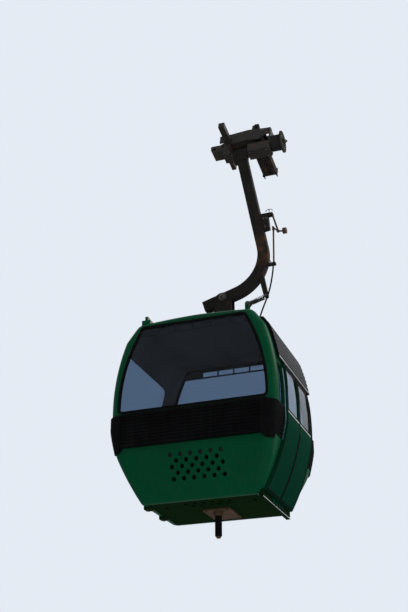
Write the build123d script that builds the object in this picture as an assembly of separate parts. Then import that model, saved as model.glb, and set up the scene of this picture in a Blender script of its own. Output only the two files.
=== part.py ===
from build123d import *
import math
import os

# Cable car cabin with its hanger and rope grip. Millimetres, +Z up.
# Origin: centre of the rope clamp in the grip's jaws.
# +Y runs along the line of travel, +X is the door side.

os.makedirs("parts", exist_ok=True)

# General clearances
seat_gap = 0.3          # between pieces that sit against each other
pin_gap = 0.05          # radial, a pin in its own bore
slide_gap = 1.0         # a sliding guide in its track
reach = 6000.0          # past every piece, for cutting tools

# The cabin hangs a little to the far side of the rope, since the hanger passes it on the door side
cabin_x = -35.0

# Heights of the cabin below the rope
roof_edge_z = -2490.0
roof_crown = 35.0
shoulder_z = -2690.0
waist_top_z = -3450.0
waist_bottom_z = -3720.0
floor_z = -4460.0

# Half widths, seen from the end
roof_half_width = 650.0
shoulder_half_width = 795.0
waist_half_width = 922.0
floor_half_width = 652.0
lower_bulge = 36.0
roof_corner = 120.0
shoulder_radius = 200.0
waist_radius = 300.0
foot_corner = 55.0

# Half lengths, seen from the side
roof_half_length = 690.0
end_half_length = 735.0
floor_half_length = 485.0
end_foot_z = -3980.0
knee_radius = 220.0

corner_radius = 100.0
wall = 28.0
frame_side_wrap = 62.0
frame_bottom_z = -3745.0

# End windows
window_top_z = -2540.0
window_bottom_z = -3545.0
window_top_half = 590.0
window_bottom_half = 833.0
window_bulge = 72.0
window_corner = 60.0
seal_width = 32.0
seal_depth = 20.0
glass_thickness = 5.0
glass_inset = 8.0
glass_edge = 9.0

# Ventilation strip at the top of each end window
vent_drop = 118.0
vent_rail = 14.0
vent_post_count = 5

# Bumpers
bumper_top_z = -3590.0
bumper_bottom_z = -3925.0
bumper_proud = 58.0
bumper_side = 5.0
bumper_corner = 140.0
bumper_wrap_end = 475.0
bumper_lip = 16.0
lip_proud = 9.0
cap_length = 165.0
cap_drop = 50.0
cap_sweep = 80.0
cap_proud = 16.0
cap_rise = 6.0
rib_count = 9
rib_depth = 7.0
side_rib_depth = 4.0

# Doors
door_half_opening = 455.0
door_gap = 5.0
door_thickness = 22.0
door_top_z = -3076.0
door_foot = 35.0
door_split = 6.0
door_window_top_z = -3112.0
door_window_bottom_z = -3590.0
door_window_margin = 38.0
door_window_corner = 36.0
door_travel = 300.0
travel_gap = 15.0       # left at the end of a slide
header_top_z = -2585.0
header_wall = 8.0
header_rib_count = 10
header_rib_depth = 4.0
header_half_length = 598.0
opening_half = 430.0
opening_top_z = -3064.0
opening_sill_z = -4360.0

# Rope and grip
rope_radius = 20.0
rope_slope = 14.0
jaw_length = 150.0

# Hanger
axle_x = 315.0
axle_z = -80.0
axle_radius = 35.0
hub_radius = 64.0
hub_length = 186.0
arm_width = 124.0
arm_depth = 96.0
arm_top = (342.0, -190.0)
arm_corner = (638.0, -1837.0)
arm_end = (-150.0, -2082.0)
arm_bend_radius = 470.0

# Pivot on the roof
pivot_x = 85.0
pivot_z = -2003.0
pivot_pin_radius = 24.0
pivot_plate_width = 210.0
pivot_plate_thickness = 14.0

# Guide post under the floor
post_radius = 37.0
post_length = 205.0
post_pin_radius = 15.0

# Side openings and seats
side_window_half = 590.0
bench_depth = 350.0
bench_height = 420.0


def middle(a, b, bulge):
    """Point beside the middle of a to b, out by bulge on the right-hand side."""
    dx = b[0] - a[0]
    dz = b[1] - a[1]
    length = math.hypot(dx, dz)
    return ((a[0] + b[0]) / 2 + bulge * dz / length, (a[1] + b[1]) / 2 - bulge * dx / length)


def symmetric_face(right_half):
    """Closed outline from its right half, drawn from the bottom centre to the top centre."""
    left_half = [mirror(line, about=Plane.YZ) for line in right_half]
    return make_face(Curve() + right_half + left_half)


def round_corners(face, corners):
    """Round the named corners of a symmetric outline, each with its own radius."""
    for (side, height), radius in corners:
        near = [v for v in face.vertices() if abs(abs(v.X) - side) < 1 and abs(v.Y - height) < 1]
        face = fillet(near, radius)
    return face


def upright_bulge(a, b):
    """Bulge of an arc that leaves a straight up and ends in b."""
    dx = abs(a[0] - b[0])
    dz = abs(a[1] - b[1])
    return math.hypot(dx, dz) / 2 * math.tan(math.atan2(dx, dz) / 2)


def front_face(grow=0.0, footed=True):
    """The cabin seen from its end, in X and Z."""
    foot = (floor_half_width, floor_z)
    waist_low = (waist_half_width, waist_bottom_z)
    waist_high = (waist_half_width, waist_top_z)
    shoulder = (shoulder_half_width, shoulder_z)
    edge = (roof_half_width, roof_edge_z)
    top = (0, roof_edge_z + roof_crown)
    upper_bulge = upright_bulge(waist_high, shoulder)
    face = symmetric_face([
        Line((0, floor_z), foot),
        ThreePointArc(foot, middle(foot, waist_low, lower_bulge), waist_low),
        Line(waist_low, waist_high),
        ThreePointArc(waist_high, middle(waist_high, shoulder, upper_bulge), shoulder),
        Line(shoulder, edge),
        ThreePointArc(edge, middle(edge, top, roof_crown / 5), top),
    ])
    corners = [(edge, roof_corner), (shoulder, shoulder_radius), (waist_low, waist_radius)]
    if footed:
        corners.append((foot, foot_corner))
    face = round_corners(face, corners)
    if grow:
        face = offset(face, amount=grow)
    return Pos(cabin_x, 0) * face


def side_face(grow=0.0, proud=0.0, footed=True):
    """The cabin seen from its side, in Y and Z. Proud moves only the ends."""
    foot = (floor_half_length + proud, floor_z)
    knee = (end_half_length + proud, end_foot_z)
    hip = (end_half_length + proud, bumper_top_z)
    edge = (roof_half_length + proud, roof_edge_z)
    top_z = roof_edge_z + roof_crown + 40
    above = (roof_half_length + proud, top_z)
    face = symmetric_face([
        Line((0, floor_z), foot),
        Line(foot, knee),
        Line(knee, hip),
        ThreePointArc(hip, middle(hip, edge, upright_bulge(hip, edge)), edge),
        Line(edge, above),
        Line(above, (0, top_z)),
    ])
    corners = [(knee, knee_radius)]
    if footed:
        corners.append((foot, foot_corner))
    face = round_corners(face, corners)
    if grow:
        face = offset(face, amount=grow)
    return face


def along_y(face, start=-reach, end=reach):
    """Extrude an outline drawn in X and Z along Y."""
    solid = extrude(Plane.XZ.offset(-start) * face, amount=start - end)
    return solid


def along_x(face, start=-reach, end=reach):
    """Extrude an outline drawn in Y and Z along X."""
    return extrude(Plane.YZ.offset(start) * face, amount=end - start)


def block(x, y, z):
    """Box from its three ranges."""
    size = (x[1] - x[0], y[1] - y[0], z[1] - z[0])
    centre = ((x[0] + x[1]) / 2, (y[0] + y[1]) / 2, (z[0] + z[1]) / 2)
    return Pos(*centre) * Box(*size)


def cabin_body(grow):
    """The closed cabin form, grown outwards or inwards; its ends are rounded first, then its foot."""
    body = along_y(front_face(grow, footed=False)) & along_x(side_face(grow, footed=False))
    loops = []
    for edge in body.edges():
        box = edge.bounding_box()
        along_length = box.size.Y > 5 and box.size.X < 1 and box.size.Z < 1
        along_width = box.size.X > 5 and box.size.Y < 1 and box.size.Z < 1
        if abs(edge.center().Y) > 300 and not along_length and not along_width:
            loops.append(edge)
    body = fillet(loops, corner_radius + grow)
    underside = body.faces().sort_by(Axis.Z)[0]
    return fillet(underside.edges(), foot_corner + grow)


def band(inside, outside, y, z, side=1):
    """Strip of side wall between two offsets of the end outline; side picks +X or -X."""
    ring = front_face(outside) - front_face(inside)
    x_range = (0, reach) if side > 0 else (-reach, 0)
    return along_y(ring, y[0], y[1]) & block(x_range, y, z)


def end_band(inside, outside, z, end=-1):
    """Strip of end wall between two offsets of the side outline."""
    ring = side_face(outside) - side_face(inside)
    y_range = (-reach, 0) if end < 0 else (0, reach)
    return along_x(ring, -reach / 2, reach / 2) & block((-reach, reach), y_range, z)


def window_face(grow=0.0):
    """Outline of an end window, in X and Z."""
    low = (window_bottom_half, window_bottom_z)
    high = (window_top_half, window_top_z)
    face = symmetric_face([
        Line((0, window_bottom_z), low),
        ThreePointArc(low, middle(low, high, window_bulge), high),
        Line(high, (0, window_top_z)),
    ])
    face = fillet(face.vertices().filter_by(lambda v: abs(v.X) > 1), window_corner)
    if grow:
        face = offset(face, amount=grow)
    return Pos(cabin_x, 0) * face


def round_window(y, z, radius, grow=0.0):
    """Outline of a side window, in Y and Z."""
    centre = ((y[0] + y[1]) / 2, (z[0] + z[1]) / 2)
    face = Pos(*centre) * RectangleRounded(y[1] - y[0] + 2 * grow, z[1] - z[0] + 2 * grow, radius + grow)
    return face


def save(name, shape):
    """Write one node."""
    export_step(shape, f"parts/{name}.step")


# Cabin shell, split where the real panels meet
outer = cabin_body(0.0)
inner = cabin_body(-wall)
shell = outer - inner
inside_ends = along_x(side_face(0, -frame_side_wrap))
inside_ends_fit = along_x(side_face(0, -frame_side_wrap - seat_gap))
cavity = cabin_body(-wall - seat_gap)
ends = {"front": -1, "rear": 1}

roof_split_z = -2620.0
floor_top_z = floor_z + wall
pan_margin = 50.0
pan_x = (cabin_x - floor_half_width + pan_margin, cabin_x + floor_half_width - pan_margin)
pan_y = floor_half_length - pan_margin
everywhere = (-reach, reach)

end_shell = shell - inside_ends
for name, end in ends.items():
    half = (-reach, 0) if end < 0 else (0, reach)
    hole = along_y(window_face(), *half)
    frame = (end_shell & block(everywhere, half, (frame_bottom_z, 0))) - hole
    save(f"end_frame_{name}", frame)

# Ventilation holes in the lower end panels, rows of 6 and 5
vent_rows = 5
vent_radius = 23.0
vent_pitch = 110.0
vent_row_pitch = 56.0
vent_top_z = -4036.0
vent_holes = []
for row in range(vent_rows):
    count = 6 - row % 2
    for column in range(count):
        x = (column - (count - 1) / 2) * vent_pitch
        z = vent_top_z - row * vent_row_pitch
        vent_holes.append(Pos(x, z) * Circle(vent_radius))
vents = Sketch() + vent_holes
pan_space = block(pan_x, (-pan_y, pan_y), (floor_z - 50, floor_top_z + 1))
low = (floor_z - 50, frame_bottom_z - seat_gap)
lower_panels = (end_shell & block(everywhere, everywhere, low)) - pan_space - along_y(vents)
save("lower_panels", lower_panels)

middle_shell = shell & inside_ends_fit
roof = middle_shell & block(everywhere, everywhere, (roof_split_z, 0))

# Left wall with its wide window
left_window_z = (window_bottom_z - 15, -2790.0)
side_walls = middle_shell & block(everywhere, everywhere, (floor_z - 50, roof_split_z - seat_gap))
side_walls = side_walls - pan_space
left_hole = round_window((-side_window_half, side_window_half), left_window_z, 70.0)
left_wall = (side_walls & block((-reach, -10), everywhere, everywhere)) - along_x(left_hole, -reach, 0)
save("side_wall_left", left_wall)

# Right wall with the doorway and a narrow window at each end of it
strip_y = (492.0, 622.0)
strip_z = (bumper_top_z + 12, -3135.0)
doorway = block((0, reach), (-opening_half, opening_half), (opening_sill_z, opening_top_z))
right_wall = (side_walls & block((10, reach), everywhere, everywhere)) - doorway
for end in ends.values():
    strip_range = sorted((end * strip_y[0], end * strip_y[1]))
    right_wall = right_wall - along_x(round_window(strip_range, strip_z, 30.0), 0, reach)
save("side_wall_right", right_wall)

# Floor pan with its drain holes
floor = outer & block((pan_x[0] + seat_gap, pan_x[1] - seat_gap), (-pan_y + seat_gap, pan_y - seat_gap),
                      (floor_z - 50, floor_top_z))
drain_radius = 28.0
drain_rows = [
    # count, pitch, y
    (6, 96.0, -330.0),
    (5, 96.0, -240.0),
    (3, 110.0, 400.0),
    (2, 980.0, -250.0),
]
drains = []
for count, pitch, y in drain_rows:
    for i in range(count):
        drains.append(Pos((i - (count - 1) / 2) * pitch, y, floor_z) * Cylinder(drain_radius, 4 * wall))
floor = floor - drains
save("floor_pan", floor)

# Glass and its rubber seals
glass_back = glass_inset + glass_thickness
panes = []
seals = []
for end in ends.values():
    half = (-reach, 0) if end < 0 else (0, reach)
    pane_band = end_band(-glass_back, -glass_inset, (window_bottom_z - 50, window_top_z + 50), end)
    pane = pane_band & along_y(window_face(-seal_width + glass_edge), *half)
    panes.append(pane)
    slot_band = end_band(-glass_back - seat_gap, -glass_inset + seat_gap,
                         (window_bottom_z - 50, window_top_z + 50), end)
    slot = slot_band & along_y(window_face(-seal_width + glass_edge + seat_gap), *half)
    ring = along_y(window_face(-seat_gap) - window_face(-seal_width), *half)
    seal = (end_band(-seal_depth, -1.0, (window_bottom_z - 50, window_top_z + 50), end) & ring) - slot
    seals.append(seal)
save("end_windows", Part() + panes)
save("window_seals", Part() + seals)

left_pane = band(-glass_back, -glass_inset, (-reach, reach), left_window_z, -1)
left_pane = left_pane & along_x(round_window((-side_window_half, side_window_half), left_window_z, 70.0,
                                             -seat_gap), -reach, 0)
save("window_left", left_pane)
strips = []
for end in ends.values():
    strip_range = sorted((end * strip_y[0], end * strip_y[1]))
    pane = band(-glass_back, -glass_inset, (-reach, reach), strip_z, 1)
    pane = pane & along_x(round_window(strip_range, strip_z, 30.0, -seat_gap), 0, reach)
    strips.append(pane)
save("strip_windows", Part() + strips)

# Ventilation strip inside the top of each end window: two rails and the posts between them
vent_strips = []
for end in ends.values():
    half = (-reach, 0) if end < 0 else (0, reach)
    rail_front = glass_back + seat_gap
    strip = end_band(-rail_front - vent_rail, -rail_front, (window_top_z - vent_drop, window_top_z), end)
    strip = strip & along_y(window_face(-seal_width - seat_gap), *half)
    spacing = 2 * window_top_half / (vent_post_count + 1)
    top_rail_z = window_top_z - seal_width - vent_rail
    cuts = []
    for bay in range(vent_post_count - 1):
        x = cabin_x + (bay - (vent_post_count - 2) / 2) * spacing
        cuts.append(block((x - spacing / 2 + vent_rail / 2, x + spacing / 2 - vent_rail / 2), half,
                          (window_top_z - vent_drop + vent_rail, top_rail_z)))
    vent_strips.append(strip - cuts)
save("vent_strips", Part() + vent_strips)

# Bumpers: a ribbed middle, smooth taller caps at the corners and a thin wrap along the sides
bumper_z = (bumper_bottom_z, bumper_top_z)
cap_z = (bumper_bottom_z - cap_drop, bumper_top_z + cap_rise)
lip_z = (bumper_top_z - bumper_lip, bumper_top_z)
rib_pitch = (bumper_top_z - bumper_lip - bumper_bottom_z) / rib_count
cap_x = cabin_x + waist_half_width - cap_length
cap_sweep_middle = (cap_x + cap_sweep * 0.3, bumper_bottom_z - cap_drop * 0.7)
cap_face = make_face(Curve() + [
    Line((cap_x, cap_z[1] + 1), (cap_x, bumper_bottom_z)),
    ThreePointArc((cap_x, bumper_bottom_z), cap_sweep_middle, (cap_x + cap_sweep, cap_z[0])),
    Line((cap_x + cap_sweep, cap_z[0]), (reach, cap_z[0])),
    Line((reach, cap_z[0]), (reach, cap_z[1] + 1)),
    Line((reach, cap_z[1] + 1), (cap_x, cap_z[1] + 1)),
])
bumpers = []
for end in ends.values():
    half = (-reach, -bumper_wrap_end) if end < 0 else (bumper_wrap_end, reach)

    def ring_form(side, proud, z_range, radius):
        form = along_y(front_face(side)) & along_x(side_face(0, proud)) & block(everywhere, half, z_range)
        corner = [e for e in form.edges()
                  if abs(e.center().Y) > end_half_length and e.bounding_box().size.X < 60
                  and e.bounding_box().size.Z > 8]
        return fillet(corner, radius)

    strip = ring_form(bumper_side, bumper_proud, bumper_z, bumper_corner)
    core = ring_form(bumper_side - side_rib_depth, bumper_proud - rib_depth, bumper_z,
                     bumper_corner - rib_depth)
    grooves = []
    for i in range(rib_count - 1):
        z = bumper_top_z - bumper_lip - (i + 1) * rib_pitch
        grooves.append(block(everywhere, half, (z - rib_pitch * 0.18, z + rib_pitch * 0.18)))
    strip = strip - ((strip - core) & (Part() + grooves))
    lip = ring_form(bumper_side, bumper_proud + lip_proud, lip_z, bumper_corner + lip_proud)
    cap = ring_form(bumper_side, bumper_proud + cap_proud, cap_z, bumper_corner + cap_proud)
    cap = cap & along_y(cap_face + Pos(2 * cabin_x, 0) * mirror(cap_face, about=Plane.YZ), *half)
    cap_y = (-reach, -end_half_length + 60) if end < 0 else (end_half_length - 60, reach)
    cap = cap & block(everywhere, cap_y, cap_z)
    bumpers.append((strip + lip + cap) - outer)
save("bumpers", Part() + bumpers)

# Doors
leaf_inside = bumper_side + door_gap
leaf_outside = leaf_inside + door_thickness
door_bottom_z = floor_z + door_foot
door_z = (door_bottom_z, door_top_z)
door_window_z = (door_window_bottom_z, door_window_top_z)
rail_z = (-3050.0, -3020.0)
rail_out = leaf_inside - slide_gap
hook_length = 60.0
hook_thickness = 8.0
hook_lip = 12.0
hook_starts = (25.0, header_half_length - header_wall - travel_gap - door_travel - hook_length)

# Track under the door sill, open towards the door, and the tongues that run in it
track_x = (cabin_x + floor_half_width - 16, cabin_x + floor_half_width + 26)
track_bottom_z = floor_z - 38.0
track_wall = 12.0
slot_height = 12.0
tongue_width = 50.0
tongue_starts = (30.0, floor_half_length - travel_gap / 3 - door_travel - tongue_width)
tongue_thickness = 8.0
slot_z = (track_bottom_z + track_wall, track_bottom_z + track_wall + slot_height)
tongue_x = (track_x[0] + track_wall + slide_gap, track_x[1] + 4 + tongue_thickness)
tongue_z = (slot_z[0] + seat_gap, slot_z[0] + seat_gap + tongue_thickness)
for name, end in ends.items():
    leaf_y = sorted((end * door_split / 2, end * door_half_opening))
    leaf = band(leaf_inside, leaf_outside, leaf_y, door_z)
    hole_y = (leaf_y[0] + door_window_margin, leaf_y[1] - door_window_margin)
    hole = round_window(hole_y, door_window_z, door_window_corner)
    leaf = leaf - along_x(hole, 0, reach)
    for start in hook_starts:
        y = end * (start + hook_length / 2) - hook_length / 2
        hook_z = (rail_z[1] + seat_gap, rail_z[1] + hook_lip)
        hook_y = (y, y + hook_length)
        hook = band(leaf_inside, leaf_inside + hook_thickness, hook_y, (door_top_z - 1, hook_z[1]))
        tip = band(seat_gap + 2, leaf_inside + 1, hook_y, hook_z)
        leaf = leaf + hook + tip
    for start in tongue_starts:
        y = end * (start + tongue_width / 2) - tongue_width / 2
        drop = block((track_x[1] + 4, tongue_x[1]), (y, y + tongue_width), (tongue_z[0], door_bottom_z + 2))
        leaf = leaf + drop + block(tongue_x, (y, y + tongue_width), tongue_z)
    save(f"door_{name}", leaf)
    pane_inside = leaf_inside + hook_thickness
    pane = band(pane_inside, pane_inside + glass_thickness, leaf_y, door_window_z)
    pane = pane & along_x(round_window(hole_y, door_window_z, door_window_corner, -seat_gap), 0, reach)
    save(f"door_glass_{name}", pane)

top_rail = band(seat_gap, rail_out, (-header_half_length + 12, header_half_length - 12), rail_z)
save("door_rail_top", top_rail)

# Ribbed cover over the doors, with the pocket that the hooks run in
header_z = (door_top_z + 6, header_top_z)
header_y = (-header_half_length, header_half_length)
header = band(seat_gap, leaf_outside, header_y, header_z)
pocket = band(-1.0, leaf_outside - header_wall, (header_y[0] + header_wall, header_y[1] - header_wall),
              (header_z[0] - 1, -2960.0))
header_pitch = (header_z[1] - header_z[0]) / header_rib_count
header_grooves = []
for i in range(1, header_rib_count):
    z = header_z[0] + i * header_pitch
    header_grooves.append(block((0, reach), everywhere, (z - header_pitch * 0.2, z + header_pitch * 0.2)))
skin = band(leaf_outside - header_rib_depth, leaf_outside + 1, everywhere, header_z)
header = header - pocket - (skin & (Part() + header_grooves))
save("door_header", header)

track = block(track_x, (-floor_half_length, floor_half_length), (track_bottom_z, floor_z + foot_corner))
track = track - along_y(front_face(seat_gap))
track = track - block((track_x[0] + track_wall, track_x[1] + 1), everywhere, slot_z)
save("door_rail_bottom", track)

# Benches against the end walls
bench_back = 40.0
bench_x = (cabin_x - 560.0, cabin_x + 560.0)
bench_back_top_z = -3620.0
benches = []
for end in ends.values():
    y_out = end_half_length - wall
    seat_y = sorted((end * (y_out - bench_depth), end * y_out))
    seat = block(bench_x, seat_y, (floor_top_z + seat_gap + bench_height - 40, floor_top_z + bench_height))
    riser_y = sorted((end * (y_out - bench_depth + 20), end * (y_out - bench_depth + 50)))
    riser = block(bench_x, riser_y, (floor_top_z + seat_gap, floor_top_z + bench_height - 30))
    back_y = sorted((end * (y_out - bench_back), end * y_out))
    back = block(bench_x, back_y, (floor_top_z + bench_height - 10, bench_back_top_z))
    benches.append((seat + riser + back) & cavity)
save("benches", Part() + benches)

# Hanger: a box section that curves round the door side of the cabin
arm_path = FilletPolyline((arm_top[0], 0, arm_top[1]), (arm_corner[0], 0, arm_corner[1]),
                          (arm_end[0], 0, arm_end[1]), radius=arm_bend_radius)
arm_end_plane = Plane(origin=arm_path @ 0, z_dir=arm_path % 0, x_dir=(0, 1, 0))
arm = sweep(arm_end_plane * Rectangle(arm_depth, arm_width), path=arm_path)
pivot_bore = Pos(pivot_x, 0, pivot_z) * Rot(90, 0, 0) * Cylinder(pivot_pin_radius + pin_gap, 4 * arm_depth)
arm = arm - pivot_bore

# Hub on the grip's axle, with the neck that the arm is welded to
hub = Pos(axle_x, 0, axle_z) * Rot(0, 90, 0) * Cylinder(hub_radius, hub_length)
neck = block((axle_x - 80, axle_x + 86), (-arm_depth / 2, arm_depth / 2), (arm_top[1] - 8, axle_z + 26))
axle_bore = Pos(axle_x, 0, axle_z) * Rot(0, 90, 0) * Cylinder(axle_radius + pin_gap, 3 * hub_length)
hub = (hub + neck) - axle_bore - arm
save("hanger_head", hub)

# Pivot over the roof
plate_in = arm_depth / 2 + 2
plate_out = plate_in + pivot_plate_thickness
bracket = []
for side in (-1, 1):
    plate_y = sorted((side * plate_in, side * plate_out))
    plate = block((pivot_x - pivot_plate_width / 2, pivot_x + pivot_plate_width / 2), plate_y,
                  (roof_edge_z, pivot_z - 50))
    crown = Pos(pivot_x, side * (plate_in + plate_out) / 2, pivot_z - 50) * Rot(90, 0, 0)
    crown = crown * Cylinder(pivot_plate_width / 2, pivot_plate_thickness)
    bracket.append(plate + crown)
foot_x = (pivot_x - 235, pivot_x + 235)
foot_y = (-plate_out - 60, plate_out + 60)
foot = block(foot_x, foot_y, (roof_edge_z, roof_edge_z + roof_crown + 26))
bracket = (Part() + bracket + foot) - pivot_bore - outer
pivot_pin = Pos(pivot_x, 0, pivot_z) * Rot(90, 0, 0) * Cylinder(pivot_pin_radius, 2 * plate_out + 24)

# Damper between the hanger and the cabin roof
damper_eye = (590.0, -2050.0)
post_x = 352.0
post_eye = (372.0, -2118.0)
eye_radius = 24.0
lug_web = 9.0
lug_face = make_face(Polyline((505, -1770), (568, -1790), (damper_eye[0] + 24, damper_eye[1] + 6),
                              (damper_eye[0] - 24, damper_eye[1] - 6), close=True))
lug_face = lug_face + Pos(*damper_eye) * Circle(eye_radius)
lug_slot = 16.3
lug = along_y(lug_face, lug_slot, lug_slot + lug_web) + along_y(lug_face, -lug_slot - lug_web, -lug_slot)
lug = lug + along_y(make_face(Polyline((505, -1770), (568, -1790), (572, -1850), (530, -1850), close=True)),
                    -lug_slot, lug_slot)
post = block((post_x - 10, post_x + 34), (-32, 32), (roof_edge_z, post_eye[1]))
post = post + Pos(post_eye[0], 0, post_eye[1]) * Rot(90, 0, 0) * Cylinder(30, 64)
post = post - block((post_x - 60, post_x + 60), (-16.3, 16.3), (post_eye[1] - 46, post_eye[1] + 60)) - inner
damper_dx = damper_eye[0] - post_eye[0]
damper_dz = damper_eye[1] - post_eye[1]
damper_length = math.hypot(damper_dx, damper_dz)
damper_frame = Plane(origin=(post_eye[0], 0, post_eye[1]), x_dir=(0, 1, 0), z_dir=(damper_dx, 0, damper_dz))
damper = Pos(0, 0, damper_length / 2) * Cylinder(14, damper_length)
damper = damper + Rot(0, 90, 0) * Cylinder(20, 32)
damper = damper + Pos(0, 0, damper_length) * Rot(0, 90, 0) * Cylinder(20, 32)
coil_count = 7
coil_start = 42.0
coil_pitch = (damper_length - 2 * coil_start) / (coil_count - 1)
for i in range(coil_count):
    damper = damper + Pos(0, 0, coil_start + i * coil_pitch) * Cylinder(32, coil_pitch * 0.55)
damper = damper_frame * damper
for eye in (damper_eye, post_eye):
    damper = damper - Pos(eye[0], 0, eye[1]) * Rot(90, 0, 0) * Cylinder(8.0 + pin_gap, 100)
save("damper", damper)
pins = Part()
for eye in (damper_eye, post_eye):
    pins = pins + Pos(eye[0], 0, eye[1]) * Rot(90, 0, 0) * Cylinder(8.0, 76)
lug_bores = Pos(damper_eye[0], 0, damper_eye[1]) * Rot(90, 0, 0) * Cylinder(8.0 + pin_gap, 100)
save("hanger_arm", arm + (lug - lug_bores))
post = post - Pos(post_eye[0], 0, post_eye[1]) * Rot(90, 0, 0) * Cylinder(8.0 + pin_gap, 100)
save("roof_panel", roof + post)
save("suspension_bracket", bracket)
save("suspension_pins", Part() + [pivot_pin, pins])

# Door control on the door side of the hanger
arm_slope = math.atan2(arm_corner[0] - arm_top[0], arm_top[1] - arm_corner[1])


def arm_edge_x(z):
    """Outer edge of the arm's straight run at height z."""
    centre = arm_top[0] + (arm_top[1] - z) * math.tan(arm_slope)
    return centre + arm_width / 2 / math.cos(arm_slope)


lever_z = -1000.0
lever_pin_x = 690.0
bar_z = (lever_z - 18, lever_z + 18)
bar = block((arm_edge_x(lever_z) - 40, lever_pin_x - 12), (-28, 28), bar_z)
for fork_y in ((-28, -14), (14, 28)):
    bar = bar + block((lever_pin_x - 70, lever_pin_x + 10), fork_y, bar_z)
bar = bar - block((lever_pin_x - 40, lever_pin_x + 20), (-14, 14), (lever_z - 20, lever_z + 20))
gusset_low = lever_z - 208
gusset_top = lever_z - 18
gusset = Polyline((arm_edge_x(gusset_top) - 40, gusset_top), (arm_edge_x(gusset_top) + 88, gusset_top),
                  (arm_edge_x(gusset_low) + 68, gusset_low + 16), (arm_edge_x(gusset_low) - 40, gusset_low),
                  close=True)
pad = along_y(make_face(gusset), -34, 34)
lever_pin_bore = Pos(lever_pin_x, 0, lever_z) * Rot(90, 0, 0) * Cylinder(6 + pin_gap, 80)
lever_bracket = (bar + pad) - arm - lever_pin_bore
knee = (754.0, -1236.0)
rod_top = (697.0, -1180.0)
wheel_centre = (832.0, -1246.0)


def link(a, b, radius):
    """Round bar between two points of the X and Z plane."""
    dx = b[0] - a[0]
    dz = b[1] - a[1]
    frame = Plane(origin=(a[0], 0, a[1]), z_dir=(dx, 0, dz))
    return frame * (Pos(0, 0, math.hypot(dx, dz) / 2) * Cylinder(radius, math.hypot(dx, dz)))


lever = link((lever_pin_x, lever_z), knee, 11.0)
lever = lever + Pos(lever_pin_x, 0, lever_z) * Rot(90, 0, 0) * Cylinder(13, 27.4)
lever = lever + Pos(knee[0], 0, knee[1]) * Sphere(20)
lever = lever + link(knee, (wheel_centre[0] - 24, wheel_centre[1]), 10.0)
lever = lever + link(rod_top, knee, 9.0) + Pos(rod_top[0], 0, rod_top[1]) * Rot(90, 0, 0) * Cylinder(14, 24)
lever = lever + Pos(lever_pin_x, 0, lever_z) * Rot(90, 0, 0) * Cylinder(6, 60)
lever = lever + link((wheel_centre[0] - 30, wheel_centre[1]), (wheel_centre[0] + 28, wheel_centre[1]), 7.0)
lever = lever + Pos(rod_top[0], 0, rod_top[1]) * Rot(90, 0, 0) * Cylinder(5, 42)
save("door_lever", lever)
wheel = Pos(wheel_centre[0], 0, wheel_centre[1]) * Rot(0, 90, 0) * Cylinder(36, 44)
wheel_x, wheel_z = wheel_centre
wheel = wheel - link((wheel_x - 80, wheel_z), (wheel_x + 80, wheel_z), 7.0 + pin_gap)
save("door_lever_roller", wheel)
rod_bottom = (690.0, -1640.0)
rod_radius = 10.0
rod = link((rod_top[0], rod_top[1] - 30), rod_bottom, rod_radius)
rod = rod + block((rod_top[0] - 11, rod_top[0] + 9), (-20, 20), (rod_top[1] - 36, rod_top[1] - 24))
for side in (-1, 1):
    ear_y = sorted((side * 12.3, side * 20))
    rod = rod + block((rod_top[0] - 10, rod_top[0] + 9), ear_y, (rod_top[1] - 30, rod_top[1]))
    rod = rod + Pos(rod_top[0], side * 16.15, rod_top[1]) * Rot(90, 0, 0) * Cylinder(11, 7.7)
rod = rod - Pos(rod_top[0], 0, rod_top[1]) * Rot(90, 0, 0) * Cylinder(5 + pin_gap, 60)
save("door_rod", rod)
clamp_z = -1655.0
clamp_arm_x = 598.0
clamp = block((clamp_arm_x - 20, rod_bottom[0] + 22), (-24, 24), (clamp_z - 14, clamp_z + 14))
clamp = clamp - arm
clamp = clamp - Pos(rod_bottom[0], 0, clamp_z) * Cylinder(rod_radius + pin_gap, 80)
save("hanger_brackets", Part() + [lever_bracket, clamp])

# Door cable from the clamp into the roof
cable_radius = 9.0
gland_x = 512.0
gland_y = -66.0
gland_radius = 22.0
gland_height = 52.0
cable_points = [
    (690.0, -30.0, -1685.0),
    (690.0, -46.0, -1760.0),
    (682.0, -62.0, -1850.0),
    (664.0, -66.0, -1950.0),
    (634.0, -66.0, -2060.0),
    (592.0, -66.0, -2165.0),
    (548.0, -66.0, -2270.0),
    (gland_x, gland_y, -2380.0),
    (gland_x, gland_y, roof_edge_z),
]
cable_vectors = [Vector(*p) for p in cable_points]
cable_bends = []
for a, b, c in zip(cable_vectors, cable_vectors[1:], cable_vectors[2:]):
    turn = math.radians((b - a).get_angle(c - b))
    shorter = min((b - a).length, (c - b).length)
    cable_bends.append(0.45 * shorter / math.tan(turn / 2))
print("cable bend radii", [round(r) for r in cable_bends])
cable_path = FilletPolyline(*cable_points, radius=cable_bends)
cable_section = Plane(origin=cable_path @ 0, z_dir=cable_path % 0) * Circle(cable_radius)
cable = sweep(cable_section, path=cable_path)
gland_place = Pos(gland_x, gland_y, roof_edge_z + gland_height / 2)
gland = gland_place * (Cylinder(gland_radius, gland_height) - Cylinder(cable_radius + seat_gap, 200)) - outer
cable = cable - outer
save("door_cable", cable)
save("cable_gland", gland)

# Small bracket on the roof's front corner
mast_x = -600.0
mast_y = (-roof_half_length + 40, -roof_half_length + 130)
mast = block((mast_x - 50, mast_x + 50), mast_y, (roof_edge_z - 60, roof_edge_z + 44))
mast = mast + block((mast_x - 16, mast_x + 16), (mast_y[0] + 10, mast_y[1] - 20),
                    (roof_edge_z, roof_edge_z + 92))
save("roof_bracket", mast - outer)

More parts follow.
